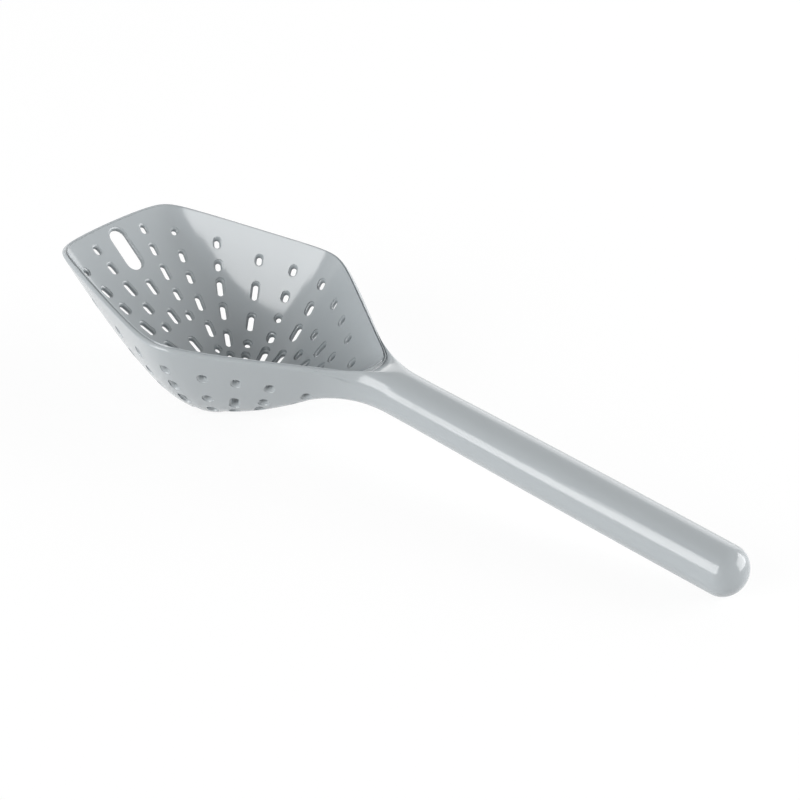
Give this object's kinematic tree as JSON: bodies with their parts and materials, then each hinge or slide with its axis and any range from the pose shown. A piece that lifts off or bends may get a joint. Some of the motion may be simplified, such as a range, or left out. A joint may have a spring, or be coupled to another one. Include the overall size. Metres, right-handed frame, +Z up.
{
  "type": "scoop skimmer",
  "caption": "Deep slotted scoop skimmer: perforated pentagonal bowl with a straight lip and a hanging slot, flared neck and thick round handle with a domed end.",
  "frame": {"origin": "middle of the footprint at table height, with the skimmer lying as it rests: on the flat under its bowl and on the end of its handle", "axes": "+X from the bowl towards the end of the handle, +Y across the bowl, +Z up out of the open bowl; the rim plane falls about 7 degrees towards +X"},
  "size_m": [0.331, 0.1148, 0.0536],
  "materials": {
    "body": "smooth glossy moulded plastic, pale blue-grey",
    "core": "plain moulded plastic, hidden inside the handle"
  },
  "bodies": {
    "root": {"scoop_bowl": "body", "handle_sleeve": "body", "end_cap": "body", "handle_core": "core"}
  },
  "joints": []
}
